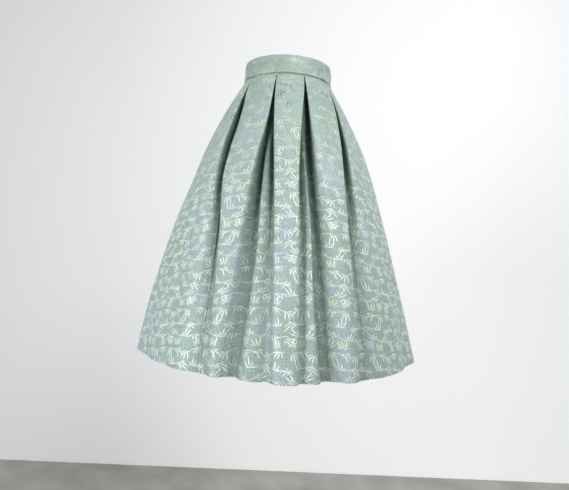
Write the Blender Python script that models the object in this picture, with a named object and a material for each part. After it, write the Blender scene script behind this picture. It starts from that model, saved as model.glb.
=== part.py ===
"""A high-waisted midi skirt in brocade: a plain waistband, a flared front and back with eight
inverted box pleats, and a concealed zip in the wearer's left side. It hangs as it does when worn.

The front faces -Y, the wearer's left is +X and the origin is the middle of the waistband.
Sizes are in metres and angles in degrees round from the centre front towards the wearer's left.
"""

from collections import namedtuple
from math import cos, degrees, hypot, pi, radians, sin

import bmesh
import bpy
from mathutils import Vector

# The waistband
BAND_HEIGHT = 0.048
BAND_THICKNESS = 0.0024
BAND_PROUD = 0.0014
BAND_TAPER = 0.0015
BAND_STEPS = 60
BAND_RINGS = (0.0, 0.03, 0.12, 0.5, 0.9, 0.97, 1.0)
BAND_EDGE_ROUND = (0.0007, 0.0001, 0.0, 0.0, 0.0, 0.0001, 0.0007)

# The skirt below the band
CLOTH = 0.0011
SEAM_GAP = 0.0003
SKIRT_DROP = 0.709
WAIST_HALF_GAP = 0.0009
RING_DROPS = (0.0, 0.012, 0.035, 0.07, 0.12, 0.18, 0.25, 0.33, 0.42, 0.52, 0.62, SKIRT_DROP)
FOLD_STEPS = 3
PANEL_STEPS = 3
SIDE_STEPS = 8
MOST_ROLLED = 0.42
NEARBY_ANGLE = 0.25
NEARBY_DROP = 0.01

# The concealed zip at the wearer's left
ZIP_SLIT = 0.0012
ZIP_TAPE_WIDTH = 0.009
ZIP_TAPE_THICKNESS = 0.0010
ZIP_RINGS = 5
SLIDER_DROP = 0.0075
SLIDER_BODY = (0.0022, 0.0066, 0.0085)
SLIDER_NECK_WIDTH = 0.0006
SLIDER_NECK_HEIGHT = 0.0050
BRIDGE_WIDTH = 0.0014
BRIDGE_WIRE = 0.0009
BRIDGE_OPENING = (0.0018, 0.0034)
PULL_BAR = 0.0011
PULL_THICKNESS = 0.0010
PULL_EYE_WIDTH = 0.0026
PULL_EYE_LENGTH = 0.0046
PULL_RIM = 0.0012
PULL_LENGTH = 0.022
PULL_WIDTH = 0.0064
PULL_CORNER = 0.0004
PULL_END_STEPS = 8

# The skirt's outer form, ring by ring
Ring = namedtuple("Ring", "drop half_width half_depth")
OUTLINE = (
    Ring(0.000, 0.1150, 0.0930),
    Ring(0.040, 0.1380, 0.1120),
    Ring(0.080, 0.1605, 0.1310),
    Ring(0.130, 0.1850, 0.1540),
    Ring(0.200, 0.2150, 0.1840),
    Ring(0.300, 0.2480, 0.2210),
    Ring(0.400, 0.2765, 0.2540),
    Ring(0.500, 0.3025, 0.2850),
    Ring(0.600, 0.3290, 0.3150),
    Ring(SKIRT_DROP, 0.3555, 0.3450),
)

# How a pleat opens on its way down: its layers lie flat at the band and part towards the hem
Opening = namedtuple("Opening", "drop opened turn inner under soft roll")
OPENINGS = (
    Opening(0.000, 0.00, 0.0020, 0.0020, 0.0040, 0.0012, 0.0000),
    Opening(0.012, 0.03, 0.0022, 0.0050, 0.0078, 0.0013, 0.0000),
    Opening(0.035, 0.09, 0.0027, 0.0125, 0.0165, 0.0016, 0.0001),
    Opening(0.070, 0.19, 0.0035, 0.0225, 0.0285, 0.0024, 0.0003),
    Opening(0.120, 0.34, 0.0050, 0.0305, 0.0380, 0.0038, 0.0006),
    Opening(0.180, 0.51, 0.0065, 0.0340, 0.0425, 0.0062, 0.0011),
    Opening(0.250, 0.67, 0.0080, 0.0340, 0.0430, 0.0092, 0.0018),
    Opening(0.330, 0.80, 0.0085, 0.0320, 0.0405, 0.0124, 0.0025),
    Opening(0.420, 0.90, 0.0085, 0.0280, 0.0360, 0.0157, 0.0032),
    Opening(0.520, 0.95, 0.0080, 0.0235, 0.0310, 0.0187, 0.0040),
    Opening(SKIRT_DROP, 1.00, 0.0070, 0.0170, 0.0240, 0.0215, 0.0050),
)
WAIST_TUCK = 0.0315

# Each pleat: where it leaves the band, its two rims at four drops, and its shape at the hem
RIM_DROPS = (0.0, 0.12, 0.25, 0.42, SKIRT_DROP)
Pleat = namedtuple("Pleat", "waist left right tuck_left tuck_right soft_left soft_right ridge deep_left deep_right")
FRONT_PLEATS = (
    Pleat(-55.9, (-51.3, -48.3, -42.5, -38.5), (-46.6, -42.3, -34.5, -28.0), -0.016, -0.004, 1.2, 0.8, 0.30, 0.25, 0.25),
    Pleat(-17.6, (-17.0, -19.2, -21.5, -22.5), (-13.0, -9.7, -7.0, -4.8), -0.034, -0.004, 1.3, 0.7, 0.75, 1.00, 0.20),
    Pleat(17.6, (9.0, 5.4, 4.6, 3.4), (15.3, 14.5, 14.8, 16.3), -0.003, -0.034, 0.4, 1.2, 0.75, 0.20, 1.00),
    Pleat(55.9, (42.5, 35.0, 30.5, 25.0), (47.0, 41.0, 37.0, 33.0), -0.003, -0.014, 0.5, 1.2, 0.20, 0.15, 0.15),
)
BACK_PLEATS = (
    Pleat(124.1, (132.5, 138.5, 142.5, 146.0), (137.5, 144.0, 149.5, 155.0), -0.015, -0.004, 1.2, 0.8, 0.25, 0.30, 0.25),
    Pleat(162.4, (163.6, 163.8, 163.0, 161.5), (168.0, 171.8, 174.5, 176.2), -0.030, -0.002, 1.1, 0.6, 0.70, 0.95, 0.25),
    Pleat(197.6, (191.5, 187.5, 185.2, 184.0), (196.2, 197.0, 198.6, 201.5), -0.001, -0.031, 0.7, 1.3, 0.75, 0.25, 1.00),
    Pleat(235.9, (222.0, 214.5, 208.5, 203.5), (227.0, 221.0, 216.5, 213.0), -0.005, -0.017, 0.8, 1.1, 0.25, 0.25, 0.35),
)

# How far the hem swings out of its even form, the soft folds in the two side lobes and their bulges
Swing = namedtuple("Swing", "angle proud")
SWINGS = (
    Swing(-94, 0.003), Swing(-82, -0.004), Swing(-68, -0.020), Swing(-54, -0.026), Swing(-29, -0.018),
    Swing(-9, -0.003), Swing(1, 0.001), Swing(24, -0.003), Swing(41, -0.010), Swing(56, -0.011),
    Swing(71, -0.002), Swing(86, 0.002), Swing(112, -0.007), Swing(140, -0.013), Swing(170, -0.004),
    Swing(186, 0.002), Swing(215, -0.012), Swing(242, -0.008), Swing(266, 0.003),
)
SWING_POWER = 1.5
SideFold = namedtuple("SideFold", "angle width depth start")
SIDE_FOLDS = (
    SideFold(-74, 11, 0.008, 0.26), SideFold(62, 10, 0.007, 0.30), SideFold(104, 12, 0.012, 0.22),
    SideFold(122, 9, 0.006, 0.36), SideFold(238, 10, 0.008, 0.32), SideFold(256, 11, 0.011, 0.24),
)
FOLD_POWER = 1.4
Bulge = namedtuple("Bulge", "angle width proud top low")
BULGES = (
    Bulge(-86, 30, 0.012, 0.17, 0.76), Bulge(94, 24, 0.003, 0.20, 0.70), Bulge(205, 30, 0.005, 0.15, 0.72),
)

SEAM_Z = -BAND_HEIGHT / 2
SIDE_LEFT = 90.0
SIDE_RIGHT = -90.0


def clear_scene():
    for thing in list(bpy.data.objects):
        bpy.data.objects.remove(thing, do_unlink=True)


def material(name, colour, roughness, metallic=0.0):
    made = bpy.data.materials.new(name)
    made.use_nodes = True
    shader = made.node_tree.nodes["Principled BSDF"]
    shader.inputs["Base Color"].default_value = (*colour, 1.0)
    shader.inputs["Roughness"].default_value = roughness
    shader.inputs["Metallic"].default_value = metallic
    made.diffuse_color = (*colour, 1.0)
    return made


def smooth_through(xs, ys, x):
    """The value at x of the smooth curve through the points (xs, ys)."""
    x = min(max(x, xs[0]), xs[-1])
    i = max(k for k in range(len(xs) - 1) if xs[k] <= x)

    def slope(k):
        low, high = max(k - 1, 0), min(k + 1, len(xs) - 1)
        return (ys[high] - ys[low]) / (xs[high] - xs[low])

    span = xs[i + 1] - xs[i]
    t = (x - xs[i]) / span
    ease = t * t * (3 - 2 * t)
    start = slope(i) * span * t * (1 - t) ** 2
    end = slope(i + 1) * span * t * t * (t - 1)
    return ys[i] + (ys[i + 1] - ys[i]) * ease + start + end


def from_table(rows, drop, column):
    return smooth_through([row.drop for row in rows], [getattr(row, column) for row in rows], drop)


def swing(angle, drop):
    """How far the cloth stands out of the even form at this angle and drop."""
    share = (drop / SKIRT_DROP) ** SWING_POWER
    turns = [row.angle for row in SWINGS] + [SWINGS[0].angle + 360]
    out = [row.proud for row in SWINGS] + [SWINGS[0].proud]
    folded = (angle - SWINGS[0].angle) % 360 + SWINGS[0].angle
    proud = share * smooth_through(turns, out, folded)
    for fold in SIDE_FOLDS:
        away = (angle - fold.angle + 180) % 360 - 180
        if abs(away) < fold.width and drop > fold.start:
            grown = (drop - fold.start) / (SKIRT_DROP - fold.start)
            proud -= fold.depth * grown ** FOLD_POWER * cos(radians(90 * away / fold.width)) ** 2
    for bulge in BULGES:
        away = (angle - bulge.angle + 180) % 360 - 180
        along = (drop - bulge.top) / (bulge.low - bulge.top)
        if abs(away) < bulge.width and 0 < along < 1:
            proud += bulge.proud * sin(pi * along) * cos(radians(90 * away / bulge.width)) ** 2
    return proud


def place(angle, drop, depth):
    """The point this far inside the skirt's outer form."""
    turn = radians(angle)
    wide = from_table(OUTLINE, drop, "half_width")
    deep = from_table(OUTLINE, drop, "half_depth")
    normal = Vector((deep * sin(turn), -wide * cos(turn))).normalized()
    return Vector((wide * sin(turn), -deep * cos(turn))) - normal * (depth - swing(angle, drop))


def degrees_per_metre(angle, drop):
    wide = from_table(OUTLINE, drop, "half_width")
    deep = from_table(OUTLINE, drop, "half_depth")
    return degrees(1 / hypot(wide * cos(radians(angle)), deep * sin(radians(angle))))


def bezier(points, steps):
    """Points along the cubic curve of these four, each with its direction."""
    a, b, c, d = points
    out = []
    for k in range(steps + 1):
        t = k / steps
        s = 1 - t
        at = a * s ** 3 + b * 3 * s * s * t + c * 3 * s * t * t + d * t ** 3
        way = (b - a) * s * s + (c - b) * 2 * s * t + (d - c) * t * t
        out.append((at, way.normalized()))
    return out


def rims(pleat, drop):
    gap = WAIST_HALF_GAP * degrees_per_metre(pleat.waist, 0.0)
    left = smooth_through(RIM_DROPS, (pleat.waist - gap, *pleat.left), drop)
    right = smooth_through(RIM_DROPS, (pleat.waist + gap, *pleat.right), drop)
    return left, right


def softness(pleat, drop, side, panel_width):
    """How far from its rim a panel starts to roll into the pleat."""
    opened = from_table(OPENINGS, drop, "opened")
    own = pleat.soft_left if side < 0 else pleat.soft_right
    return min(from_table(OPENINGS, drop, "soft") * (1 + (own - 1) * opened), MOST_ROLLED * panel_width)


def deepness(pleat, drop, side):
    """The share of the full depth that a pleat keeps on one side as it opens."""
    return 1 + ((pleat.deep_left if side < 0 else pleat.deep_right) - 1) * from_table(OPENINGS, drop, "opened") ** 2


def pleat_side(pleat, drop, side, soft):
    """One side of a pleat, from the panel's rim to the underlay: its two folds as control points."""
    rim = rims(pleat, drop)[0 if side < 0 else 1]
    scale = side * degrees_per_metre(rim, drop)
    hem_tuck = pleat.tuck_left if side < 0 else pleat.tuck_right
    tuck = WAIST_TUCK + (hem_tuck - WAIST_TUCK) * from_table(OPENINGS, drop, "opened")
    tucked = rim + scale * tuck
    roll, turn, inner, under = (from_table(OPENINGS, drop, column) for column in ("roll", "turn", "inner", "under"))
    deep = deepness(pleat, drop, side)
    panel = place(rim + scale * soft, drop, 0.0)
    rim_outer = place(rim, drop, roll)
    rim_inner = place(rim, drop, roll + turn)
    fold_outer = place(tucked, drop, roll + turn + (inner - turn) * deep)
    fold_inner = place(tucked, drop, roll + turn + (under - turn) * deep)
    reach = fold_outer - rim_inner
    step = reach.normalized() * min(soft, MOST_ROLLED * reach.length)
    return (panel, rim_outer, rim_inner, rim_inner + step), (fold_outer - step, fold_outer, fold_inner)


def pleat_points(pleat, drop, soft_left, soft_right):
    """The section through one pleat, from the left panel's rim to the right panel's."""
    rim_left, tuck_left = pleat_side(pleat, drop, -1, soft_left)
    rim_right, tuck_right = pleat_side(pleat, drop, 1, soft_right)
    across = tuck_right[2] - tuck_left[2]
    way = across.normalized()
    start = tuck_left[2] + way * min(soft_left, MOST_ROLLED * across.length)
    end = tuck_right[2] - way * min(soft_right, MOST_ROLLED * across.length)
    out = bezier(rim_left, FOLD_STEPS) + bezier((*tuck_left, start), FOLD_STEPS)
    outward = Vector((way.y, -way.x))
    deep = (deepness(pleat, drop, -1) + deepness(pleat, drop, 1)) / 2
    roll, turn, under = (from_table(OPENINGS, drop, column) for column in ("roll", "turn", "under"))
    ridge = pleat.ridge * from_table(OPENINGS, drop, "opened") ** 0.5 * (roll + turn + (under - turn) * deep)
    out.append(((start + end) / 2 + outward * ridge, way))
    back = bezier((*tuck_right, end), FOLD_STEPS)
    front = bezier(rim_right, FOLD_STEPS)
    out += [(at, -turned) for at, turned in reversed(back)]
    out += [(at, -turned) for at, turned in reversed(front)]
    return out


def panel_points(start, end, drop, steps):
    """The section between two rims, without its two ends."""
    out = []
    for k in range(1, steps):
        angle = start + (end - start) * k / steps
        way = place(angle + NEARBY_ANGLE, drop, 0.0) - place(angle - NEARBY_ANGLE, drop, 0.0)
        out.append((place(angle, drop, 0.0), way.normalized()))
    return out


def section(pleats, start, end, drop):
    """The whole section of a front or back at one drop: points and directions."""
    edge = SEAM_GAP / 2 * degrees_per_metre(start, drop)
    marks = [start + edge]
    for pleat in pleats:
        marks += rims(pleat, drop)
    marks.append(end - edge)
    out = []
    for k in range(0, len(marks), 2):
        low, high = marks[k], marks[k + 1]
        width = (high - low) / degrees_per_metre((low + high) / 2, drop)
        if k == 0:
            out.append(panel_points(low - 1, low + 1, drop, 2)[0])
        else:
            after = softness(pleats[k // 2 - 1], drop, 1, width)
            low += after * degrees_per_metre(low, drop)
            out += pleat_points(pleats[k // 2 - 1], drop, before, after)
        if k // 2 < len(pleats):
            before = softness(pleats[k // 2], drop, -1, width)
            high -= before * degrees_per_metre(high, drop)
        ends = k == 0 or k // 2 == len(pleats)
        out += panel_points(low, high, drop, SIDE_STEPS if ends else PANEL_STEPS)
    out.append(panel_points(marks[-1] - 1, marks[-1] + 1, drop, 2)[0])
    return out


def lean(drop):
    """How much longer the cloth is than the drop it covers, where it flares."""
    low, high = max(drop - NEARBY_DROP, 0.0), min(drop + NEARBY_DROP, SKIRT_DROP)
    rise = from_table(OUTLINE, high, "half_width") - from_table(OUTLINE, low, "half_width")
    return hypot(1, rise / (high - low))


def walled(name, rows, made_of):
    """A closed wall from rows of (outer, inner) points, top row first."""
    mesh = bmesh.new()
    outer = [[mesh.verts.new(pair[0]) for pair in row] for row in rows]
    inner = [[mesh.verts.new(pair[1]) for pair in row] for row in rows]

    def quad(a, b, c, d):
        mesh.faces.new((a, b, c))
        mesh.faces.new((a, c, d))

    down, along = len(rows) - 1, len(rows[0]) - 1
    for r in range(down):
        for c in range(along):
            quad(outer[r][c], outer[r + 1][c], outer[r + 1][c + 1], outer[r][c + 1])
            quad(inner[r][c + 1], inner[r + 1][c + 1], inner[r + 1][c], inner[r][c])
        quad(inner[r][0], inner[r + 1][0], outer[r + 1][0], outer[r][0])
        quad(outer[r][along], outer[r + 1][along], inner[r + 1][along], inner[r][along])
    for c in range(along):
        quad(inner[0][c], outer[0][c], outer[0][c + 1], inner[0][c + 1])
        quad(outer[down][c], inner[down][c], inner[down][c + 1], outer[down][c + 1])
    return finished(name, mesh, made_of)


def finished(name, mesh, made_of):
    bmesh.ops.recalc_face_normals(mesh, faces=mesh.faces)
    data = bpy.data.meshes.new(name)
    mesh.to_mesh(data)
    mesh.free()
    data.materials.append(made_of)
    data.shade_smooth()
    data.set_sharp_from_angle(angle=radians(40))
    thing = bpy.data.objects.new(name, data)
    bpy.context.scene.collection.objects.link(thing)
    return thing


def skirt_panel(name, pleats, start, end, made_of):
    """A front or back: one wall that runs through every fold of its pleats."""
    rows = []
    for drop in RING_DROPS:
        half = CLOTH / 2 * lean(drop)
        z = SEAM_Z - SEAM_GAP - drop
        row = []
        for at, way in section(pleats, start, end, drop):
            out = Vector((way.y, -way.x)) * half
            row.append((Vector((*(at + out), z)), Vector((*(at - out), z))))
        rows.append(row)
    return walled(name, rows, made_of)


def band_outer(angle, share):
    """The band's outer face, share 0 at its top edge and 1 at its bottom edge."""
    taken = BAND_TAPER * (1 - share)
    turn = radians(angle)
    wide = OUTLINE[0].half_width + BAND_PROUD - taken
    deep = OUTLINE[0].half_depth + BAND_PROUD - taken
    return Vector((wide * sin(turn), -deep * cos(turn))), Vector((deep * sin(turn), -wide * cos(turn))).normalized()


def waistband(made_of):
    """One strip round the waist from the zip's slit back to it, with rounded edges."""
    slit = degrees(ZIP_SLIT / 2 / OUTLINE[0].half_depth)
    start, end = SIDE_LEFT + slit, SIDE_LEFT + 360 - slit
    rows = []
    for share, cut in zip(BAND_RINGS, BAND_EDGE_ROUND):
        z = BAND_HEIGHT / 2 - share * BAND_HEIGHT
        row = []
        for k in range(BAND_STEPS + 1):
            at, normal = band_outer(start + (end - start) * k / BAND_STEPS, share)
            row.append((Vector((*(at - normal * cut), z)), Vector((*(at - normal * (BAND_THICKNESS - cut)), z))))
        rows.append(row)
    return walled("waistband", rows, made_of)


def inner_edge(side, level):
    """The inner face beside the slit at one level: its two nearest points, and its height."""
    if level < len(BAND_RINGS):
        share = BAND_RINGS[level]
        slit = degrees(ZIP_SLIT / 2 / OUTLINE[0].half_depth)
        facet = (360 - 2 * slit) / BAND_STEPS
        points = []
        for k in (0, 1):
            at, normal = band_outer(SIDE_LEFT + side * (slit + facet * k), share)
            points.append(at - normal * BAND_THICKNESS)
        return points, BAND_HEIGHT / 2 - share * BAND_HEIGHT
    drop = RING_DROPS[level - len(BAND_RINGS) + 1]
    if side < 0:
        cut = section(FRONT_PLEATS, SIDE_RIGHT, SIDE_LEFT, drop)[:-3:-1]
    else:
        cut = section(BACK_PLEATS, SIDE_LEFT, SIDE_RIGHT + 360, drop)[:2]
    half = CLOTH / 2 * lean(drop)
    return [at - Vector((way.y, -way.x)) * half for at, way in cut], SEAM_Z - SEAM_GAP - drop


def zip_tape(name, side, made_of):
    """Half of the zip's tape: a strip just inside the band and the skirt, beside the slit."""
    rows = []
    for level in range(1, len(BAND_RINGS) + ZIP_RINGS):
        (edge, after), z = inner_edge(side, level)
        way = (after - edge).normalized()
        inward = Vector((-way.y, way.x)) * side
        start = edge + way * (ZIP_SLIT / 2 - abs(edge.y)) + inward * SEAM_GAP
        row = []
        for share in (0.0, 0.5, 1.0):
            face = start + way * ZIP_TAPE_WIDTH * share
            row.append((Vector((*face, z)), Vector((*(face + inward * ZIP_TAPE_THICKNESS), z))))
        rows.append(row if side > 0 else row[::-1])
    return walled(name, rows, made_of)


def block(mesh, low, high):
    """A box between two corners, added to a mesh."""
    made = bmesh.ops.create_cube(mesh, size=1.0)["verts"]
    size = Vector(high) - Vector(low)
    middle = (Vector(high) + Vector(low)) / 2
    bmesh.ops.scale(mesh, vec=size, verts=made)
    bmesh.ops.translate(mesh, vec=middle, verts=made)


def slab(mesh, outline, axis, low, high):
    """An outline of (u, v) points made solid along X or Y."""
    ends = []
    for level in (low, high):
        if axis == "X":
            ends.append([mesh.verts.new((level, u, v)) for u, v in outline])
        else:
            ends.append([mesh.verts.new((u, level, v)) for u, v in outline])
    mesh.faces.new(ends[0])
    mesh.faces.new(ends[1][::-1])
    for k in range(len(outline)):
        n = (k + 1) % len(outline)
        mesh.faces.new((ends[0][n], ends[0][k], ends[1][k], ends[1][n]))


def joined(name, meshes, made_of):
    """The Boolean union of several closed meshes, as one object."""
    things = [finished(f"{name}_{k}", mesh, made_of) for k, mesh in enumerate(meshes)]
    base = things[0]
    for extra in things[1:]:
        union = base.modifiers.new(extra.name, "BOOLEAN")
        union.operation = "UNION"
        union.object = extra
        extra.hide_render = True
        extra.display_type = "WIRE"
    base.name = name
    return base


def slider_faces():
    """Where the band's two faces lie at the slider, and the slider's height."""
    share = SLIDER_DROP / BAND_HEIGHT
    outer = band_outer(SIDE_LEFT, share)[0].x
    return outer, outer - BAND_THICKNESS - SEAM_GAP - ZIP_TAPE_THICKNESS, BAND_HEIGHT / 2 - SLIDER_DROP


def pull_pivot():
    """The middle of the bridge's opening, which the tab swings about."""
    outer, _, z = slider_faces()
    return Vector((outer + SEAM_GAP + BRIDGE_WIRE + BRIDGE_OPENING[0] / 2, 0.0, z))


def zip_slider(made_of):
    """The slider's body behind the tapes, its neck in the slit and the bridge for the pull tab."""
    outer, inner, z = slider_faces()
    deep, wide, tall = SLIDER_BODY
    body = bmesh.new()
    back = inner - SEAM_GAP
    half, corner = wide / 2, wide / 5
    outline = [(-half, z - tall / 2 + corner), (-half + corner, z - tall / 2), (half - corner, z - tall / 2),
               (half, z - tall / 2 + corner), (half, z + tall / 2 - corner), (half - corner, z + tall / 2),
               (-half + corner, z + tall / 2), (-half, z + tall / 2 - corner)]
    slab(body, outline, "X", back - deep, back)
    neck = bmesh.new()
    front = outer + SEAM_GAP
    thin = SLIDER_NECK_WIDTH / 2
    block(neck, (back - deep / 2, -thin, z - SLIDER_NECK_HEIGHT / 2),
          (front + BRIDGE_WIRE / 2, thin, z + SLIDER_NECK_HEIGHT / 2))
    open_out, open_up = BRIDGE_OPENING
    plate = bmesh.new()
    arm = open_up / 2 + BRIDGE_WIRE
    block(plate, (front - SEAM_GAP / 3, -BRIDGE_WIDTH / 2, z - arm), (front + BRIDGE_WIRE, BRIDGE_WIDTH / 2, z + arm))
    arms = []
    for side in (-1, 1):
        leg = bmesh.new()
        low, high = sorted((z + side * open_up / 2, z + side * arm))
        block(leg, (front + BRIDGE_WIRE / 2, -BRIDGE_WIDTH / 2, low),
              (front + BRIDGE_WIRE + open_out + BRIDGE_WIRE / 2, BRIDGE_WIDTH / 2, high))
        arms.append(leg)
    bow = bmesh.new()
    face = front + BRIDGE_WIRE + open_out
    chamfer = BRIDGE_WIRE * 0.8
    outline = [(face, z - arm), (face + BRIDGE_WIRE - chamfer / 2, z - arm), (face + BRIDGE_WIRE, z - arm + chamfer),
               (face + BRIDGE_WIRE, z + arm - chamfer), (face + BRIDGE_WIRE - chamfer / 2, z + arm), (face, z + arm)]
    slab(bow, outline, "Y", -BRIDGE_WIDTH / 2, BRIDGE_WIDTH / 2)
    return joined("zip_slider", [body, neck, plate, *arms, bow], made_of)


def zip_pull(made_of):
    """The teardrop tab: its top bar lies in the bridge, and the bridge's lower arm in its eye."""
    pivot = pull_pivot()
    half_eye = PULL_EYE_WIDTH / 2
    top = PULL_BAR / 2
    side = half_eye + PULL_RIM
    outside = [(-side, top - PULL_CORNER), (-side + PULL_CORNER, top), (side - PULL_CORNER, top),
               (side, top - PULL_CORNER)]
    eye_end = -top - PULL_EYE_LENGTH
    outside += [(side, eye_end)]
    tip = -PULL_LENGTH + PULL_WIDTH / 2
    for k in range(PULL_END_STEPS + 1):
        turn = radians(180 * k / PULL_END_STEPS)
        outside.append((cos(turn) * PULL_WIDTH / 2, tip - sin(turn) * PULL_WIDTH / 2))
    outside += [(-side, eye_end)]
    tab = bmesh.new()
    slab(tab, outside, "X", -PULL_THICKNESS / 2, PULL_THICKNESS / 2)
    thing = finished("zip_pull", tab, made_of)
    hole = bmesh.new()
    block(hole, (-PULL_THICKNESS, -half_eye, eye_end), (PULL_THICKNESS, half_eye, -top))
    cutter = finished("zip_pull_eye", hole, made_of)
    cutter.hide_render = True
    cutter.display_type = "WIRE"
    for piece in (thing, cutter):
        piece.location = pivot
    cut = thing.modifiers.new("Eye", "BOOLEAN")
    cut.operation = "DIFFERENCE"
    cut.object = cutter
    return thing


clear_scene()
brocade = material("sage brocade", (0.36, 0.47, 0.43), 0.38, 0.1)
tape = material("zip tape", (0.40, 0.48, 0.45), 0.8)
metal = material("painted zip metal", (0.42, 0.50, 0.46), 0.35, 0.6)

waistband(brocade)
skirt_panel("skirt_front", FRONT_PLEATS, SIDE_RIGHT, SIDE_LEFT, brocade)
skirt_panel("skirt_back", BACK_PLEATS, SIDE_LEFT, SIDE_RIGHT + 360, brocade)
zip_tape("zip_tape_front", -1, tape)
zip_tape("zip_tape_back", 1, tape)
zip_slider(metal)
zip_pull(metal)
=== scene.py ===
"""The looks of a high-waisted pleated brocade skirt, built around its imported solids.

Sizes are in metres. The front faces -Y, the wearer's left is +X, and the origin is the middle of
the waistband. Angles round the skirt start at the centre front and grow towards the wearer's left.
"""

from collections import namedtuple
from math import atan2, cos, degrees, hypot, pi, radians, sin

import bpy
from mathutils import Matrix, Vector


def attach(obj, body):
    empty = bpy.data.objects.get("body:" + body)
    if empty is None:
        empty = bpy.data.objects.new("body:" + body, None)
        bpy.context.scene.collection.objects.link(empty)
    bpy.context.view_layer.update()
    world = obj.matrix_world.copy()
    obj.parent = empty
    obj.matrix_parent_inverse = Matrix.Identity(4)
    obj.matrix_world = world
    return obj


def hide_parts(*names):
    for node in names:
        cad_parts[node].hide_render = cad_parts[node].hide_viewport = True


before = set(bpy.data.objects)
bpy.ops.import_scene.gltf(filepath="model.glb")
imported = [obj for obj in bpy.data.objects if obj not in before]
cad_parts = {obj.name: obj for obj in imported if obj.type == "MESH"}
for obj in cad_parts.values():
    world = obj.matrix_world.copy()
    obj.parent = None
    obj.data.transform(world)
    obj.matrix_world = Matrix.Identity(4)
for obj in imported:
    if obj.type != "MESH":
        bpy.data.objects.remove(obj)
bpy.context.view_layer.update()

# The view: a camera about 1.2 m in front of the skirt, a little above its hem, level with the
# thighs and turned slightly. Its lens and place were fitted to the seam, the hem and the pleats.
IMAGE_WIDTH = 569
FOCAL_PIXELS = 454
CAMERA_PLACE = Vector((-0.085, -1.2165, -0.4932))
CAMERA_HEADING = radians(4.0) + 0.0078
CAMERA_PITCH = 0.0328
CAMERA_ROLL = 0.0425

ahead = Vector((sin(CAMERA_HEADING) * cos(CAMERA_PITCH), cos(CAMERA_HEADING) * cos(CAMERA_PITCH), sin(CAMERA_PITCH)))
level_right = Vector((cos(CAMERA_HEADING), -sin(CAMERA_HEADING), 0))
level_up = level_right.cross(ahead)
right = level_right * cos(CAMERA_ROLL) + level_up * sin(CAMERA_ROLL)
up = level_up * cos(CAMERA_ROLL) - level_right * sin(CAMERA_ROLL)
lens = bpy.data.cameras.new("view")
lens.sensor_width = 36
lens.lens = 36 * FOCAL_PIXELS / IMAGE_WIDTH
camera = bpy.data.objects.new("view", lens)
bpy.context.scene.collection.objects.link(camera)
turned = Matrix((right, up, -ahead)).transposed().to_4x4()
camera.matrix_world = Matrix.Translation(CAMERA_PLACE) @ turned
bpy.context.scene.camera = camera


# The studio: a pale painted wall and a grey floor that meet behind the skirt, lit by one soft
# lamp high in front, a weaker one from the left and the pale room itself.
WALL_BEHIND = 1.7
FLOOR_Z = -1.83


class Value:
    """A socket in a material's node tree that Python's operators work on."""

    def __init__(self, tree, socket=None):
        self.tree = tree
        self.socket = socket

    def node(self, kind, settings, sockets, out=0):
        made = self.tree.nodes.new("ShaderNode" + kind)
        for name, value in settings.items():
            setattr(made, name, value)
        for name, value in sockets.items():
            if isinstance(value, Value):
                self.tree.links.new(value.socket, made.inputs[name])
            else:
                made.inputs[name].default_value = value
        return Value(self.tree, made.outputs[out])

    def maths(self, operation, *others):
        return self.node("Math", {"operation": operation}, dict(enumerate((self, *others))))

    def vector(self, operation, *others, out=0):
        return self.node("VectorMath", {"operation": operation}, dict(enumerate((self, *others))), out)

    def mix(self, low, high, blend="MIX"):
        """The colour this share of the way from low to high."""
        return self.node("Mix", {"data_type": "RGBA", "blend_type": blend}, {0: self, 6: low, 7: high}, 2)

    def between(self, low, high):
        """0 below low, 1 above high and even in between."""
        return self.node("MapRange", {}, {"Value": self, "From Min": low, "From Max": high})

    def __add__(self, other):
        return self.maths("ADD", other)

    def __sub__(self, other):
        return self.maths("SUBTRACT", other)

    def __mul__(self, other):
        return self.maths("MULTIPLY", other)

    def __truediv__(self, other):
        return self.maths("DIVIDE", other)

    def __pow__(self, other):
        return self.maths("POWER", other)

    def __abs__(self):
        return self.maths("ABSOLUTE")

    def __rsub__(self, other):
        return (self * -1) + other

    __radd__ = __add__
    __rmul__ = __mul__


def new_material(name):
    """A material, its shader and the start of its node tree."""
    made = bpy.data.materials.new(name)
    made.use_nodes = True
    return made, made.node_tree.nodes["Principled BSDF"], Value(made.node_tree)


def finish_with(shader, **sockets):
    """Sets a shader's sockets by name, with _ for a space."""
    for name, value in sockets.items():
        socket = shader.inputs[name.replace("_", " ")]
        if isinstance(value, Value):
            value.tree.links.new(value.socket, socket)
        else:
            socket.default_value = value


def mesh_object(name, points, faces, material, smooth=True):
    data = bpy.data.meshes.new(name)
    data.from_pydata(points, [], faces)
    data.materials.append(material)
    data.polygons.foreach_set("use_smooth", [smooth] * len(faces))
    thing = bpy.data.objects.new(name, data)
    bpy.context.scene.collection.objects.link(thing)
    return thing


paint, shader, start = new_material("wall paint")
place = start.node("TexCoord", {}, {}, "Object")
patchy = start.node("TexNoise", {}, {"Vector": place, "Scale": 1.3, "Detail": 3.0})
# The wall glows with painted light, brighter towards +X, as if the lamps fell more on its right side.
glow_across = place.node("SeparateXYZ", {}, {0: place}, 0)
finish_with(shader, Base_Color=patchy.mix((0.84, 0.84, 0.85, 1), (0.88, 0.88, 0.89, 1)), Roughness=0.9,
            Emission_Color=glow_across.between(-1.0, 1.4).mix((0.50, 0.50, 0.52, 1), (1.0, 0.99, 1.0, 1)),
            Emission_Strength=0.36)

screed, shader, start = new_material("floor screed")
place = start.node("TexCoord", {}, {}, "Object")
cloudy = start.node("TexNoise", {}, {"Vector": place, "Scale": 5.0, "Detail": 6.0})
finish_with(shader, Base_Color=cloudy.mix((0.26, 0.26, 0.23, 1), (0.58, 0.58, 0.53, 1)), Roughness=0.6)

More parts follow.
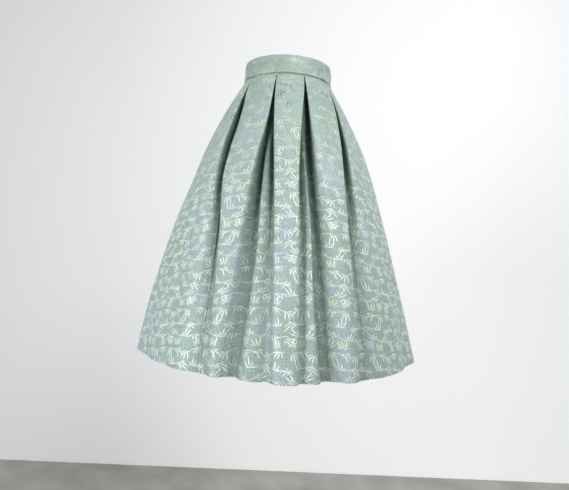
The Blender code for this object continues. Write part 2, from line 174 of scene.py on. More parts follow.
flat_ahead = Vector((sin(CAMERA_HEADING), cos(CAMERA_HEADING), 0))
foot = flat_ahead * WALL_BEHIND + Vector((0, 0, FLOOR_Z))
across = level_right * 6
wall = mesh_object("backdrop_wall", [foot - across, foot + across, foot + across + Vector((0, 0, 6)),
                                     foot - across + Vector((0, 0, 6))], [(0, 1, 2, 3)], paint, False)
floor = mesh_object("backdrop_floor", [foot - across, foot + across, foot + across - flat_ahead * 6,
                                       foot - across - flat_ahead * 6], [(0, 3, 2, 1)], screed, False)


def soft_lamp(name, place, aim, wide, tall, watts, colour):
    lamp = bpy.data.lights.new(name, "AREA")
    lamp.shape = "RECTANGLE"
    lamp.size = wide
    lamp.size_y = tall
    lamp.energy = watts
    lamp.color = colour
    thing = bpy.data.objects.new(name, lamp)
    thing.location = place
    thing.rotation_mode = "QUATERNION"
    thing.rotation_quaternion = (Vector(aim) - Vector(place)).to_track_quat("-Z", "Y")
    bpy.context.scene.collection.objects.link(thing)


soft_lamp("key", (1.1, -1.95, 1.65), (0, 0, -0.4), 0.8, 1.8, 57, (1.0, 0.99, 0.98))
soft_lamp("left_side", (-1.7, -1.4, -0.4), (-0.2, 0, -0.4), 0.6, 1.2, 27, (0.98, 0.99, 1.0))
soft_lamp("right_side", (2.2, -0.4, 1.1), (0, 0, -0.1), 1.0, 1.0, 9, (0.98, 0.99, 1.0))

bpy.context.scene.view_settings.view_transform = "Standard"
room = bpy.data.worlds.new("room")
room.use_nodes = True
room.node_tree.nodes["Background"].inputs["Color"].default_value = (0.93, 0.96, 1.0, 1)
room.node_tree.nodes["Background"].inputs["Strength"].default_value = 0.29
bpy.context.scene.world = room


# The skirt's front and back: two flared panels of satin brocade, each with four inverted box
# pleats folded flat under the band's seam, which open on their way down. The two are joined at
# the sides, with a concealed zip at the wearer's left and a hem turned up and slip-stitched.
CLOTH = 0.0011
SEAM_GAP = 0.0003
SEAM_Z = -0.024
SKIRT_DROP = 0.709
WAIST_HALF_GAP = 0.0009
WAIST_TUCK = 0.0315
MOST_ROLLED = 0.42
TURN_KEPT = 0.3
HEM_TURNED = 0.026
HEM_LAYER = 0.0006
FOLD_STEPS = 8
PLEAT_FLOOR_STEPS = 10
# The next four numbers set the painted shade: how dark a fold is painted for its depth and the width of its mouth,
# and the fixed shade painted on the inside faces.
FOLD_LIGHT = 0.36
FOLD_LEAST = 0.004
OPEN_GAP = 0.075
INSIDE_PAINTED_SHADE = 0.14
PANEL_STEPS = 14
SIDE_STEPS = 48
SKIRT_ROWS = 96
CUT_RADIUS = 1.56
SWING_POWER = 1.5
SIDE_LEFT = 90.0
SIDE_RIGHT = -90.0

Ring = namedtuple("Ring", "drop half_width half_depth")
OUTLINE = (
    Ring(0.000, 0.1150, 0.0930),
    Ring(0.040, 0.1380, 0.1120),
    Ring(0.080, 0.1605, 0.1310),
    Ring(0.130, 0.1850, 0.1540),
    Ring(0.200, 0.2150, 0.1840),
    Ring(0.300, 0.2480, 0.2210),
    Ring(0.400, 0.2765, 0.2540),
    Ring(0.500, 0.3025, 0.2850),
    Ring(0.600, 0.3290, 0.3150),
    Ring(SKIRT_DROP, 0.3555, 0.3450),
)
Opening = namedtuple("Opening", "drop opened turn inner under soft roll")
OPENINGS = (
    Opening(0.000, 0.00, 0.0020, 0.0020, 0.0040, 0.0012, 0.0000),
    Opening(0.012, 0.03, 0.0022, 0.0050, 0.0078, 0.0013, 0.0000),
    Opening(0.035, 0.09, 0.0027, 0.0125, 0.0165, 0.0016, 0.0001),
    Opening(0.070, 0.19, 0.0035, 0.0225, 0.0285, 0.0024, 0.0003),
    Opening(0.120, 0.34, 0.0050, 0.0305, 0.0380, 0.0038, 0.0006),
    Opening(0.180, 0.51, 0.0065, 0.0340, 0.0425, 0.0062, 0.0011),
    Opening(0.250, 0.67, 0.0080, 0.0340, 0.0430, 0.0092, 0.0018),
    Opening(0.330, 0.80, 0.0085, 0.0320, 0.0405, 0.0124, 0.0025),
    Opening(0.420, 0.90, 0.0085, 0.0280, 0.0360, 0.0157, 0.0032),
    Opening(0.520, 0.95, 0.0080, 0.0235, 0.0310, 0.0187, 0.0040),
    Opening(SKIRT_DROP, 1.00, 0.0070, 0.0170, 0.0240, 0.0215, 0.0050),
)
RIM_DROPS = (0.0, 0.12, 0.25, 0.42, SKIRT_DROP)
Pleat = namedtuple("Pleat", "waist left right tuck_left tuck_right soft_left soft_right ridge deep_left deep_right")
FRONT_PLEATS = (
    Pleat(-55.9, (-51.5, -49.0, -42.5, -38.5), (-44.6, -42.6, -35.0, -28.5), -0.016, -0.006, 1.2, 0.8, 0.30, 0.18, 0.18),
    Pleat(-17.6, (-17.0, -20.6, -22.9, -23.8), (-13.0, -9.7, -7.0, -4.8), -0.020, -0.004, 1.4, 0.7, 0.70, 1.00, 0.35),
    Pleat(17.6, (9.0, 5.4, 4.6, 3.4), (15.3, 15.6, 17.6, 19.0), -0.003, -0.022, 0.4, 1.8, 0.70, 0.35, 1.00),
    Pleat(55.9, (42.5, 35.0, 30.5, 26.0), (47.0, 41.0, 37.0, 33.0), -0.006, -0.014, 1.0, 1.2, 0.20, 0.05, 0.05),
)
BACK_PLEATS = (
    Pleat(124.1, (132.5, 138.5, 142.5, 146.0), (137.5, 144.0, 149.5, 155.0), -0.015, -0.004, 1.2, 0.8, 0.25, 0.30, 0.25),
    Pleat(162.4, (163.6, 162.9, 161.2, 159.8), (168.0, 171.8, 174.5, 176.2), -0.020, -0.004, 1.4, 0.6, 0.75, 0.95, 0.35),
    Pleat(197.6, (191.5, 187.5, 185.2, 184.0), (196.2, 198.0, 200.8, 203.2), -0.003, -0.022, 0.7, 1.6, 0.80, 0.35, 1.00),
    Pleat(235.9, (222.0, 214.5, 208.5, 203.5), (227.0, 221.0, 216.5, 213.0), -0.005, -0.017, 0.8, 1.1, 0.25, 0.25, 0.35),
)
Swing = namedtuple("Swing", "angle proud")
SWINGS = (
    Swing(-94, 0.003), Swing(-82, -0.004), Swing(-68, -0.020), Swing(-54, -0.026), Swing(-29, -0.018),
    Swing(-9, -0.003), Swing(1, 0.001), Swing(24, -0.003), Swing(41, -0.010), Swing(56, -0.011),
    Swing(71, -0.002), Swing(86, 0.002), Swing(112, -0.007), Swing(140, -0.013), Swing(170, -0.004),
    Swing(186, 0.002), Swing(215, -0.012), Swing(242, -0.008), Swing(266, 0.003),
)
SideFold = namedtuple("SideFold", "angle width depth start")
SIDE_FOLDS = (
    SideFold(-74, 11, 0.008, 0.26), SideFold(62, 10, 0.007, 0.30), SideFold(104, 12, 0.012, 0.22),
    SideFold(122, 9, 0.006, 0.36), SideFold(238, 10, 0.008, 0.32), SideFold(256, 11, 0.011, 0.24),
)
Bulge = namedtuple("Bulge", "angle width proud top low")
BULGES = (
    Bulge(-86, 30, 0.0125, 0.27, 0.76), Bulge(94, 24, 0.003, 0.20, 0.70), Bulge(205, 30, 0.005, 0.15, 0.72),
)

# Soft creases where the cloth buckles: each runs from one angle and drop to another, in degrees
# and metres, and its depth is how far it dips, or stands out when negative.
Crease = namedtuple("Crease", "top_angle top low_angle low width depth")
CREASES = (
    Crease(-47, 0.015, -38, 0.290, 0.030, 0.0060),
    Crease(-68, 0.030, -62, 0.190, 0.010, 0.0016),
    Crease(-80, 0.050, -76, 0.240, 0.013, 0.0018),
    Crease(-59, 0.280, -52, 0.620, 0.020, 0.0026),
    Crease(-84, 0.340, -88, 0.700, 0.024, 0.0024),
    Crease(-31, 0.060, -33, 0.330, 0.012, 0.0013),
    Crease(-27, 0.380, -29, 0.660, 0.016, -0.0014),
    Crease(-6, 0.020, -3, 0.170, 0.010, 0.0011),
    Crease(5, 0.090, 0, 0.400, 0.013, 0.0012),
    Crease(-4, 0.420, -1, 0.700, 0.015, -0.0013),
    Crease(31, 0.040, 25, 0.260, 0.012, 0.0014),
    Crease(22, 0.330, 21, 0.680, 0.016, 0.0015),
    Crease(66, 0.030, 58, 0.230, 0.012, 0.0017),
    Crease(79, 0.080, 74, 0.330, 0.014, -0.0016),
    Crease(48, 0.330, 47, 0.690, 0.022, 0.0024),
    Crease(80, 0.420, 77, 0.700, 0.022, 0.0022),
    Crease(98, 0.050, 105, 0.260, 0.012, 0.0017),
    Crease(114, 0.300, 118, 0.640, 0.022, 0.0022),
    Crease(146, 0.050, 152, 0.300, 0.012, 0.0014),
    Crease(158, 0.380, 157, 0.690, 0.017, -0.0014),
    Crease(176, 0.030, 180, 0.240, 0.011, 0.0013),
    Crease(184, 0.300, 180, 0.660, 0.016, 0.0013),
    Crease(211, 0.060, 206, 0.340, 0.012, 0.0014),
    Crease(228, 0.360, 227, 0.700, 0.020, 0.0022),
    Crease(250, 0.040, 246, 0.240, 0.013, 0.0018),
    Crease(262, 0.330, 259, 0.700, 0.022, -0.0020),
)


def smooth_through(xs, ys, x):
    """The value at x of the smooth curve through the points (xs, ys)."""
    x = min(max(x, xs[0]), xs[-1])
    i = max(k for k in range(len(xs) - 1) if xs[k] <= x)

    def slope(k):
        low, high = max(k - 1, 0), min(k + 1, len(xs) - 1)
        return (ys[high] - ys[low]) / (xs[high] - xs[low])

    span = xs[i + 1] - xs[i]
    t = (x - xs[i]) / span
    ease = t * t * (3 - 2 * t)
    start = slope(i) * span * t * (1 - t) ** 2
    end = slope(i + 1) * span * t * t * (t - 1)
    return ys[i] + (ys[i + 1] - ys[i]) * ease + start + end


class Level:
    """The skirt's form at one drop below the band's seam."""

    def __init__(self, drop):
        self.drop = drop
        for table in (OUTLINE, OPENINGS):
            drops = [row.drop for row in table]
            for column in table[0]._fields[1:]:
                setattr(self, column, smooth_through(drops, [getattr(row, column) for row in table], drop))
        self.share = (drop / SKIRT_DROP) ** SWING_POWER
        self.turns = [row.angle for row in SWINGS] + [SWINGS[0].angle + 360]
        self.prouds = [row.proud for row in SWINGS] + [SWINGS[0].proud]
        self.dips = []
        for bulge in BULGES:
            along = (drop - bulge.top) / (bulge.low - bulge.top)
            if 0 < along < 1:
                self.dips.append((bulge.angle, bulge.width, -bulge.proud * sin(pi * along), True))
        for fold in SIDE_FOLDS:
            if drop > fold.start:
                grown = (drop - fold.start) / (SKIRT_DROP - fold.start)
                self.dips.append((fold.angle, fold.width, fold.depth * grown ** 1.4, True))
        for crease in CREASES:
            along = (drop - crease.top) / (crease.low - crease.top)
            if 0 < along < 1:
                angle = crease.top_angle + (crease.low_angle - crease.top_angle) * along
                wide = crease.width * (0.8 + 0.7 * along) * self.per_metre(angle)
                fade = min(1, along / 0.3, (1 - along) / 0.25)
                self.dips.append((angle, wide, crease.depth * fade * fade * (3 - 2 * fade), False))

    def per_metre(self, angle):
        """How many degrees a metre of the outline covers here."""
        turn = radians(angle)
        return degrees(1 / hypot(self.half_width * cos(turn), self.half_depth * sin(turn)))

    def proud(self, angle):
        first = SWINGS[0].angle
        out = self.share * smooth_through(self.turns, self.prouds, (angle - first) % 360 + first)
        for centre, width, depth, sharp in self.dips:
            away = (angle - centre + 180) % 360 - 180
            if abs(away) < width:
                bell = cos(radians(90 * away / width)) ** 2
                out -= depth * (bell if sharp else bell * bell)
        return out

    def shade(self, at, gap):
        """How hidden from the light this point is, inside a fold that is so wide at its mouth."""
        angle = degrees(atan2(at.x / self.half_width, -at.y / self.half_depth))
        turn = radians(angle)
        form = Vector((self.half_width * sin(turn), -self.half_depth * cos(turn)))
        normal = Vector((self.half_depth * sin(turn), -self.half_width * cos(turn))).normalized()
        first = SWINGS[0].angle
        swung = self.share * smooth_through(self.turns, self.prouds, (angle - first) % 360 + first)
        depth = max((form + normal * swung - at).dot(normal), 0.0)
        return depth * depth / (depth * depth + (FOLD_LIGHT * min(gap, OPEN_GAP)) ** 2 + FOLD_LEAST ** 2)

    def place(self, angle, depth):
        """The point this far inside the skirt's outer form."""
        turn = radians(angle)
        normal = Vector((self.half_depth * sin(turn), -self.half_width * cos(turn))).normalized()
        on_form = Vector((self.half_width * sin(turn), -self.half_depth * cos(turn)))
        return on_form - normal * (depth - self.proud(angle))

    def rims(self, pleat):
        gap = WAIST_HALF_GAP * self.at_waist(pleat.waist)
        left = smooth_through(RIM_DROPS, (pleat.waist - gap, *pleat.left), self.drop)
        right = smooth_through(RIM_DROPS, (pleat.waist + gap, *pleat.right), self.drop)
        return left, right

    def at_waist(self, angle):
        turn = radians(angle)
        return degrees(1 / hypot(OUTLINE[0].half_width * cos(turn), OUTLINE[0].half_depth * sin(turn)))

    def softness(self, pleat, side, panel_width):
        own = pleat.soft_left if side < 0 else pleat.soft_right
        return min(self.soft * (1 + (own - 1) * self.opened), MOST_ROLLED * panel_width)

    def deepness(self, pleat, side):
        """The share of the full depth that a pleat keeps on one side as it opens."""
        return 1 + ((pleat.deep_left if side < 0 else pleat.deep_right) - 1) * self.opened ** 2

    def pleat_side(self, pleat, side, soft):
        """One side of a pleat, from the panel's rim to the underlay, as its folds' control points."""
        rim = self.rims(pleat)[0 if side < 0 else 1]
        scale = side * self.per_metre(rim)
        hem_tuck = pleat.tuck_left if side < 0 else pleat.tuck_right
        tucked = rim + scale * (WAIST_TUCK + (hem_tuck - WAIST_TUCK) * self.opened)
        panel = self.place(rim + scale * soft, 0.0)
        rim_outer = self.place(rim, self.roll)
        deep = self.deepness(pleat, side)
        turn = self.turn * (TURN_KEPT + (1 - TURN_KEPT) * deep)
        rim_inner = self.place(rim, self.roll + turn)
        fold_outer = self.place(tucked, self.roll + turn + (self.inner - self.turn) * deep)
        fold_inner = self.place(tucked, self.roll + turn + (self.under - self.turn) * deep)
        reach = fold_outer - rim_inner
        step = reach.normalized() * min(soft, MOST_ROLLED * reach.length)
        return (panel, rim_outer, rim_inner, rim_inner + step), (fold_outer - step, fold_outer, fold_inner)

    def pleat_points(self, pleat, soft_left, soft_right):
        rim_left, tuck_left = self.pleat_side(pleat, -1, soft_left)
        rim_right, tuck_right = self.pleat_side(pleat, 1, soft_right)
        between = tuck_right[2] - tuck_left[2]
        way = between.normalized()
        start = tuck_left[2] + way * min(soft_left, MOST_ROLLED * between.length)
        end = tuck_right[2] - way * min(soft_right, MOST_ROLLED * between.length)
        out = bezier(rim_left, FOLD_STEPS) + bezier((*tuck_left, start), FOLD_STEPS)
        deep = (self.deepness(pleat, -1) + self.deepness(pleat, 1)) / 2
        ridge = pleat.ridge * self.opened ** 0.5 * (self.roll + self.turn + (self.under - self.turn) * deep)
        for k in range(1, PLEAT_FLOOR_STEPS):
            t = k / PLEAT_FLOOR_STEPS
            crown = 4 * t * (1 - t)
            tilt = way - Vector((way.y, -way.x)) * (8 * t - 4) * ridge / max(between.length, 0.004)
            at = start + (end - start) * t + Vector((way.y, -way.x)) * ridge * crown
            out.append((at, tilt.normalized()))
        back = bezier((*tuck_right, end), FOLD_STEPS)
        front = bezier(rim_right, FOLD_STEPS)
        out += [(at, -way_on) for at, way_on in reversed(back)]
        out += [(at, -way_on) for at, way_on in reversed(front)]
        gap = (rim_right[1] - rim_left[1]).length
        return [(at, way_on, self.shade(at, gap)) for at, way_on in out]

    def panel_points(self, start, end, steps):
        out = []
        for k in range(1, steps):
            angle = start + (end - start) * k / steps
            way = self.place(angle + 0.25, 0.0) - self.place(angle - 0.25, 0.0)
            at = self.place(angle, 0.0)
            out.append((at, way.normalized(), self.shade(at, OPEN_GAP)))
        return out

    def section(self, pleats, start, end):
        """The whole front or back at this drop, as points and directions."""
        edge = SEAM_GAP / 2 * self.per_metre(start)
        marks = [start + edge]
        for pleat in pleats:
            marks += self.rims(pleat)
        marks.append(end - edge)
        out = self.panel_points(marks[0] - 1, marks[0] + 1, 2)
        before = 0.0
        for k in range(0, len(marks), 2):
            low, high = marks[k], marks[k + 1]
            width = (high - low) / self.per_metre((low + high) / 2)
            if k > 0:
                after = self.softness(pleats[k // 2 - 1], 1, width)
                low += after * self.per_metre(low)
                out += self.pleat_points(pleats[k // 2 - 1], before, after)
            if k // 2 < len(pleats):
                before = self.softness(pleats[k // 2], -1, width)
                high -= before * self.per_metre(high)
            ends = k == 0 or k // 2 == len(pleats)
            out += self.panel_points(low, high, SIDE_STEPS if ends else PANEL_STEPS)
        return out + self.panel_points(marks[-1] - 1, marks[-1] + 1, 2)


def bezier(points, steps):
    """Points along the cubic curve of these four, each with its direction."""
    a, b, c, d = points
    out = []
    for k in range(steps + 1):
        t = k / steps
        s = 1 - t
        at = a * s ** 3 + b * 3 * s * s * t + c * 3 * s * t * t + d * t ** 3
        way = (b - a) * s * s + (c - b) * 2 * s * t + (d - c) * t * t
        out.append((at, way.normalized()))
    return out


def row_drops():
    """The drops of the skirt's rows, closer together under the seam and at the turned hem."""
    out = [SKIRT_DROP * (0.35 * t + 0.65 * t * t) for t in (k / (SKIRT_ROWS - 1) for k in range(SKIRT_ROWS))]
    step_at = SKIRT_DROP - HEM_TURNED
    near = min(range(len(out)), key=lambda k: abs(out[k] - step_at))
    out[near] = step_at
    return sorted(out[:-1] + [step_at + 0.0012, SKIRT_DROP - 0.0006, SKIRT_DROP])


def closed_shell(name, rows, uvs, shades, material):
    """A thin closed shell from rows of (outer, inner) points, with two UVs for each pair."""
    high, wide = len(rows), len(rows[0])
    points = [pair[0] for row in rows for pair in row] + [pair[1] for row in rows for pair in row]
    under = high * wide
    faces = []
    for r in range(high - 1):
        for c in range(wide - 1):
            a, b = r * wide + c, (r + 1) * wide + c
            faces.append((a, b, b + 1, a + 1))
            faces.append((under + a + 1, under + b + 1, under + b, under + a))
        a, b = r * wide, (r + 1) * wide
        faces.append((under + a, under + b, b, a))
        a, b = a + wide - 1, b + wide - 1
        faces.append((a, b, under + b, under + a))
    for c in range(wide - 1):
        faces.append((under + c, c, c + 1, under + c + 1))
        a = (high - 1) * wide + c
        faces.append((a, under + a, under + a + 1, a + 1))
    shell = mesh_object(name, points, faces, material)
    layer = shell.data.uv_layers.new(name="cloth")
    flat = [uv for row in uvs for uv in row]
    # The fold map holds the painted shade of each outer point, a fixed painted shade on the inside faces, and each
    # point's height above the hem.
    painted_shade_layer = shell.data.uv_layers.new(name="fold")
    hidden = [shade for row in shades for shade in row]
    for loop in shell.data.loops:
        at = loop.vertex_index % under
        layer.data[loop.index].uv = flat[at]
        painted_shade_layer.data[loop.index].uv = hidden[at] if loop.vertex_index < under else (INSIDE_PAINTED_SHADE, hidden[at][1])
    return shell


def skirt_shell(name, pleats, start, end, material, shift):
    rows, uvs, shades = [], [], []
    length, last = 0.0, None
    for drop in row_drops():
        level = Level(drop)
        nearby = Level(max(drop - 0.01, 0)), Level(min(drop + 0.01, SKIRT_DROP))
        rise = (nearby[1].half_width - nearby[0].half_width) / (nearby[1].drop - nearby[0].drop)
        lean = hypot(1, rise)
        if last is not None:
            length += (drop - last) * lean
        last = drop
        cut = level.section(pleats, start, end)
        arcs = [0.0]
        for after, before in zip(cut[1:], cut):
            arcs.append(arcs[-1] + (after[0] - before[0]).length)
        z = SEAM_Z - SEAM_GAP - drop
        rounding = 0.0003 if drop > SKIRT_DROP - 0.0003 else 0.0
        outer = CLOTH / 2 * lean - rounding
        inner = outer + (HEM_LAYER if drop > SKIRT_DROP - HEM_TURNED else 0.0) - rounding
        row, uv_row = [], []
        for (at, way, _), arc in zip(cut, arcs):
            out = Vector((way.y, -way.x))
            row.append(((*(at + out * outer), z), (*(at - out * inner), z)))
            radius = CUT_RADIUS + length
            turn = (arc - arcs[-1] / 2) / radius
            uv_row.append((radius * sin(turn) + shift, radius * cos(turn) - CUT_RADIUS))
        rows.append(row)
        uvs.append(uv_row)
        shades.append([(shade, SKIRT_DROP - drop) for _, _, shade in cut])
    return closed_shell(name, rows, uvs, shades, material)


# The cloth's weave. A satin ground in sage green, brocaded with sprays of slim bamboo leaves in a
# bright silvery weft with some gold. The sprays repeat every 110 mm across, and each band of 86 mm
# is the last one mirrored and moved on by half a repeat. Gold sprays lie between the silver ones.
# Painted shade darkens the ground to teal inside the folds and turns the leaves there gold, and the leaves near the
# top are painted darker and golder as a painted dim reflection of the metal weft.
TILE_WIDE = 0.110
TILE_TALL = 0.0855
SPRAY_FLAT = 1.45
Spray = namedtuple("Spray", "across down turn leaves spread length")
SPRAYS = (
    Spray(0.0060, 0.0093, 82, 5, 164, 0.0258),
    Spray(0.0340, 0.0047, 64, 4, 139, 0.0303),
    Spray(0.0610, 0.0112, 104, 5, 166, 0.0285),
    Spray(0.0900, 0.0047, 118, 6, 199, 0.0267),
    Spray(0.0210, 0.0400, -98, 5, 168, 0.0312),
    Spray(0.0490, 0.0353, 52, 5, 175, 0.0294),
    Spray(0.0780, 0.0428, -72, 4, 138, 0.0276),
    Spray(0.1070, 0.0372, 126, 5, 165, 0.0258),
    Spray(0.0060, 0.0651, -118, 6, 198, 0.0303),
    Spray(0.0350, 0.0614, -50, 5, 167, 0.0285),
    Spray(0.0640, 0.0670, 150, 5, 174, 0.0267),
    Spray(0.0910, 0.0595, 94, 4, 137, 0.0312),
    Spray(0.0220, 0.0837, -84, 5, 164, 0.0294),
    Spray(0.0520, 0.0818, -112, 6, 197, 0.0276),
    Spray(0.0790, 0.0846, -66, 5, 166, 0.0258),
)
LEAF_HALF_WIDTH = 0.00125
LEAF_START = 0.06
LEAF_BEND = 2.6
Stem = namedtuple("Stem", "across down turn half_length curve")
STEMS = (
    Stem(0.0220, 0.0074, 8, 0.0199, 9.0),
    Stem(0.0800, 0.0074, -14, 0.0239, 6.0),
    Stem(0.0360, 0.0381, -10, 0.0259, -6.0),
    Stem(0.0940, 0.0409, 9, 0.0199, 7.0),
    Stem(0.0200, 0.0632, -14, 0.0199, -8.0),
    Stem(0.0780, 0.0632, 16, 0.0219, 9.0),
)
STEM_HALF_WIDTH = 0.00065
EDGE_SOFT = 0.0003

brocade, shader, start = new_material("sage brocade")
cloth_place = start.node("UVMap", {"uv_map": "cloth"}, {})
across_cloth = start.node("SeparateXYZ", {}, {0: cloth_place}, 0)
length_down = start.node("SeparateXYZ", {}, {0: cloth_place}, 1)
band_number = (length_down / TILE_TALL).maths("FLOOR")
turned_over = band_number.maths("PINGPONG", 1.0)
flip = 1.0 - turned_over * 2.0
silver_place = start.node("CombineXYZ", {}, {
    0: across_cloth * flip + turned_over * (TILE_WIDE / 2), 1: length_down - band_number * TILE_TALL})
gold_place = silver_place.vector("ADD", (0.031, 0.0, 0.0))


def local_to(row, repeat_place, flatter):
    """The place in the repeat seen from a spray or stem, turned so that its own way is +X."""
    away = repeat_place.vector("SUBTRACT", (row.across, row.down, 0))
    half = TILE_WIDE / 2
    away = away.vector("WRAP", (half, 1, 1), (-half, -1, -1)).vector("MULTIPLY", (1, flatter, 1))
    return away.node("VectorRotate", {"rotation_type": "Z_AXIS"}, {"Vector": away, "Angle": -radians(row.turn)})


def spray_mask(row, repeat_place):
    away = local_to(row, repeat_place, SPRAY_FLAT)
    across = away.node("SeparateXYZ", {}, {0: away}, 0)
    down = Value(across.tree, across.socket.node.outputs[1])
    reach = away.vector("LENGTH", out="Value")
    step = radians(row.spread) / (row.leaves - 1)
    most = (row.leaves - 1) / 2
    angle = down.maths("ARCTAN2", across)
    offset = (row.leaves + 1) % 2 / 2
    leaf = ((angle / step - offset).maths("ROUND") + offset).maths("MINIMUM", most).maths("MAXIMUM", -most)
    uneven = (leaf * 2.4 + row.turn).maths("SINE") * 0.16
    length = (1.0 - abs(leaf) * (0.30 / most) + uneven) * row.length
    along = (reach / length).maths("MINIMUM", 1.3)
    off = (angle - leaf * step + leaf * (along * (LEAF_BEND / 7))) * reach
    width = (along - LEAF_START) * (1.0 - along) * (4.6 * LEAF_HALF_WIDTH)
    return (width - abs(off)) / EDGE_SOFT + 0.3


def stem_mask(row):
    away = local_to(row, silver_place, 1.0)
    across = away.node("SeparateXYZ", {}, {0: away}, 0)
    down = Value(across.tree, across.socket.node.outputs[1])
    off = down - across * across * row.curve
    taper = 1.0 - abs(across) / row.half_length
    width = taper.maths("MINIMUM", 0.3) * (STEM_HALF_WIDTH / 0.3)
    return (width - abs(off)) / EDGE_SOFT + 0.2


def woven(masks):
    """All of these sprays and stems as one mask."""
    both = masks[0]
    for mask in masks[1:]:
        both = both.maths("MAXIMUM", mask)
    return both.between(0.0, 1.0)


motif = woven([spray_mask(row, silver_place) for row in SPRAYS] + [stem_mask(row) for row in STEMS])
gold_motif = woven([spray_mask(row, gold_place) for row in SPRAYS[1::3]])

streaky = cloth_place.vector("MULTIPLY", (1.9, 0.6, 1))
drift = start.node("TexNoise", {"noise_dimensions": "2D"}, {"Vector": streaky, "Scale": 9.0, "Detail": 2.0})
patch = start.node("TexNoise", {"noise_dimensions": "2D"}, {"Vector": cloth_place, "Scale": 34.0, "Detail": 1.0})
slub = start.node("TexNoise", {"noise_dimensions": "2D"}, {"Vector": cloth_place, "Scale": 300.0, "Detail": 2.0})

TWILL = 0.0052
one_way = ((across_cloth + length_down) * (2 * pi / TWILL)).maths("SINE")
other_way = ((across_cloth - length_down) * (2 * pi / TWILL)).maths("SINE")
diamond = one_way * other_way
speckle = (diamond + slub * 2.0).between(0.7, 1.5)
# The fold map's first value is painted shade from the fold's depth; its second is the height above the hem.
fold_place = start.node("UVMap", {"uv_map": "fold"}, {})
hidden = start.node("SeparateXYZ", {}, {0: fold_place}, 0).between(0.01, 0.86)
above_hem = start.node("SeparateXYZ", {}, {0: fold_place}, 1)
below_seam = SKIRT_DROP - above_hem
# Near the top of the skirt, and on the band, the leaves are painted gold and dark olive: a painted dim reflection of
# the metal weft.
near_top = 1.0 - below_seam.between(0.06, 0.36)

ground = drift.between(0.35, 0.68).mix((0.240, 0.355, 0.315, 1), (0.290, 0.395, 0.480, 1))
dips = (0.0 - diamond).between(0.2, 0.9)
ground = (dips * 0.65).mix((speckle * 0.8).mix(ground, (0.59, 0.71, 0.63, 1)), (0.13, 0.22, 0.19, 1))
silver = patch.between(0.35, 0.65).mix((0.93, 1.0, 0.97, 1), (0.96, 1.0, 0.93, 1))
# The leaves' weft turns from silver to gold (dark olive or gold at random) partly at random, as real gold thread, and
# partly near the top and in the folds, as painted dim reflection and painted shade.
gold = patch.between(0.48, 0.62).mix((0.11, 0.19, 0.10, 1), (0.66, 0.65, 0.34, 1))
gold_and_painted_shade = (drift.between(0.55, 0.65) * 0.2 + near_top * 0.8 + hidden * 0.9).maths("MINIMUM", 1.0)
weft = gold_and_painted_shade.mix(silver, gold)
gold_thread = drift.between(0.3, 0.7).mix((0.36, 0.47, 0.25, 1), (0.66, 0.68, 0.38, 1))
figured = motif.mix((gold_motif * 0.7).mix(ground, gold_thread), weft)
# The painted shade colour of the folds: dark teal, flecked like the weave.
shade = speckle.mix((0.018, 0.050, 0.045, 1), (0.085, 0.165, 0.115, 1))

# The band's seam throws a thin shadow on the cloth under it, and slip stitches prick the hem.
HEM_STITCH = 0.007
seam_shadow = 1.0 - abs(below_seam).between(0.0005, 0.0045)
prick = (across_cloth * (2 * pi / HEM_STITCH)).maths("SINE").between(0.75, 1.0)
prick = prick * (1.0 - abs(above_hem - HEM_TURNED).between(0.0002, 0.0011))
lift = diamond * 0.35 + slub + motif * 0.4 - prick * 3.0
relief = start.node("Bump", {}, {"Strength": 0.5, "Distance": 0.0004, "Height": lift}, "Normal")
# The colour is the figured cloth, painted darker towards that teal in the folds, less so on the leaves, and painted a
# little darker under the band's seam as its shadow.
finish_with(
    shader,
    Base_Color=(hidden * (0.92 - motif * 0.42)).maths("MAXIMUM", seam_shadow * 0.38).mix(
        figured, shade),
    Roughness=0.58 - motif * 0.08 + slub * 0.06,
    Metallic=0.10 + motif * 0.05,
    Normal=relief,
    Sheen_Weight=0.15,
    Sheen_Roughness=0.4,
)

skirt_front = skirt_shell("front_cloth", FRONT_PLEATS, SIDE_RIGHT, SIDE_LEFT, brocade, 0.0)
skirt_back = skirt_shell("back_cloth", BACK_PLEATS, SIDE_LEFT, SIDE_RIGHT + 360, brocade, 0.037)
for shell, node, cut_width, cut_area in (
        (skirt_front, "skirt_front", 1.12, 0.727), (skirt_back, "skirt_back", 1.15, 0.742)):
    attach(shell, "skirt")
    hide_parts(node)


# The waistband: one straight strip of the same brocade, doubled over interfacing and stitched to
# the skirt. Its lower edge rolls a little proud over the seam, and it opens at the zip.
BAND_HEIGHT = 0.048
BAND_THICKNESS = 0.0024
BAND_PROUD = 0.0014
BAND_TAPER = 0.0015
BAND_COLUMNS = 300
ZIP_SLIT = 0.0012
BandRow = namedtuple("BandRow", "share cut puff")
BAND_ROWS = (
    BandRow(0.000, 0.0008, 0.0), BandRow(0.004, 0.0004, 0.0), BandRow(0.012, 0.0001, 0.0),
    BandRow(0.030, 0.0000, 0.0), BandRow(0.080, 0.0000, 0.0001), BandRow(0.180, 0.0000, 0.0003),
    BandRow(0.300, 0.0000, 0.0004), BandRow(0.420, 0.0000, 0.0003), BandRow(0.540, 0.0000, 0.0001),
    BandRow(0.660, 0.0000, 0.0002), BandRow(0.780, 0.0000, 0.0003), BandRow(0.860, 0.0000, 0.0004),
    BandRow(0.910, 0.0000, 0.0008), BandRow(0.950, 0.0000, 0.0010), BandRow(0.980, 0.0003, 0.0006),
    BandRow(1.000, 0.0009, 0.0),
)


def band_outer(angle, share):
    taken = BAND_TAPER * (1 - share)
    turn = radians(angle)
    wide = OUTLINE[0].half_width + BAND_PROUD - taken
    deep = OUTLINE[0].half_depth + BAND_PROUD - taken
    normal = Vector((deep * sin(turn), -wide * cos(turn))).normalized()
    return Vector((wide * sin(turn), -deep * cos(turn))), normal


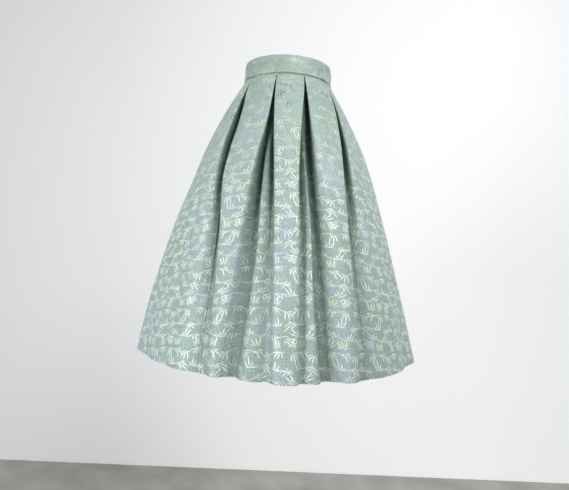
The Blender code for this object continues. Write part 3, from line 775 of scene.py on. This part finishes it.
slit = degrees(ZIP_SLIT / 2 / OUTLINE[0].half_depth)
rows, uvs = [], []
for row in BAND_ROWS:
    z = BAND_HEIGHT / 2 - row.share * BAND_HEIGHT
    pairs, uv_row, arc, last = [], [], 0.0, None
    for k in range(BAND_COLUMNS + 1):
        angle = SIDE_LEFT + slit + (360 - 2 * slit) * k / BAND_COLUMNS
        at, normal = band_outer(angle, row.share)
        if last is not None:
            arc += (at - last).length
        last = at
        buckle = row.puff * (1 + 0.7 * sin(radians(angle * 7)) * sin(radians(angle * 3 + 40)))
        pairs.append(((*(at - normal * (row.cut - buckle)), z), (*(at - normal * (BAND_THICKNESS - row.cut)), z)))
        uv_row.append((arc + 0.021, row.share * BAND_HEIGHT - 0.090))
    rows.append(pairs)
    uvs.append(uv_row)
band = closed_shell("band_cloth", rows, uvs, [[(0.0, 1.0)] * len(pairs)] * len(rows), brocade)
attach(band, "skirt")
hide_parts("waistband")


# The concealed zip at the wearer's left: two woven tapes stitched behind the slit, and a small
# enamelled slider with a teardrop pull tab that swings on its bridge.
tape_weave, shader, start = new_material("zip tape weave")
place = start.node("TexCoord", {}, {}, "Object")
ribs = start.node("TexWave", {"wave_type": "BANDS", "bands_direction": "Z"}, {"Vector": place, "Scale": 600.0})
relief = start.node("Bump", {}, {"Strength": 0.4, "Distance": 0.0002, "Height": ribs}, "Normal")
finish_with(shader, Base_Color=ribs.mix((0.33, 0.41, 0.38, 1), (0.40, 0.49, 0.45, 1)), Roughness=0.8, Normal=relief)
for node in ("zip_tape_front", "zip_tape_back"):
    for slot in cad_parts[node].material_slots:
        slot.material = tape_weave

enamel, shader, start = new_material("zip enamel")
place = start.node("TexCoord", {}, {}, "Object")
worn = start.node("TexNoise", {}, {"Vector": place, "Scale": 900.0, "Detail": 3.0})
finish_with(shader, Base_Color=worn.mix((0.38, 0.47, 0.43, 1), (0.46, 0.55, 0.50, 1)),
            Roughness=0.28 + worn * 0.15, Metallic=0.6)
for node in ("zip_slider", "zip_pull"):
    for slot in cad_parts[node].material_slots:
        slot.material = enamel

TOOTH_PITCH = 0.0014
TOOTH_RADIUS = 0.0005
TOOTH_REACH = 0.0019
TAPE_INSET = 0.0012
CHAIN_TOP = 0.006
CHAIN_LOW = -0.196
points, faces = [], []
for k in range(int((CHAIN_TOP - CHAIN_LOW) / TOOTH_PITCH)):
    z = CHAIN_TOP - k * TOOTH_PITCH
    if z > SEAM_Z:
        x = band_outer(SIDE_LEFT, (BAND_HEIGHT / 2 - z) / BAND_HEIGHT)[0].x - BAND_THICKNESS
    else:
        x = Level(SEAM_Z - z).place(SIDE_LEFT, 0.0).x - CLOTH
    x -= TAPE_INSET + TOOTH_RADIUS
    side = 1 if k % 2 else -1
    first = len(points)
    for along, size in ((-0.45, 0.4), (-0.40, 1.0), (0.90, 1.0), (1.0, 0.5)):
        for c in range(8):
            turn = radians(45 * c)
            points.append((x + cos(turn) * TOOTH_RADIUS * size, side * along * TOOTH_REACH,
                           z + sin(turn) * TOOTH_RADIUS * size))
    for r in range(3):
        for c in range(8):
            a, b = first + r * 8 + c, first + r * 8 + (c + 1) % 8
            faces.append((a, b, b + 8, a + 8) if side < 0 else (a, a + 8, b + 8, b))
    faces.append(tuple(first + c for c in (range(7, -1, -1) if side < 0 else range(8))))
    faces.append(tuple(first + 24 + c for c in (range(8) if side < 0 else range(7, -1, -1))))
nylon, shader, start = new_material("zip nylon")
place = start.node("TexCoord", {}, {}, "Object")
milky = start.node("TexNoise", {}, {"Vector": place, "Scale": 700.0, "Detail": 2.0})
finish_with(shader, Base_Color=milky.mix((0.37, 0.45, 0.42, 1), (0.45, 0.54, 0.50, 1)), Roughness=0.36 + milky * 0.1)
teeth = mesh_object("zip_teeth", points, faces, nylon)
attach(teeth, "skirt")
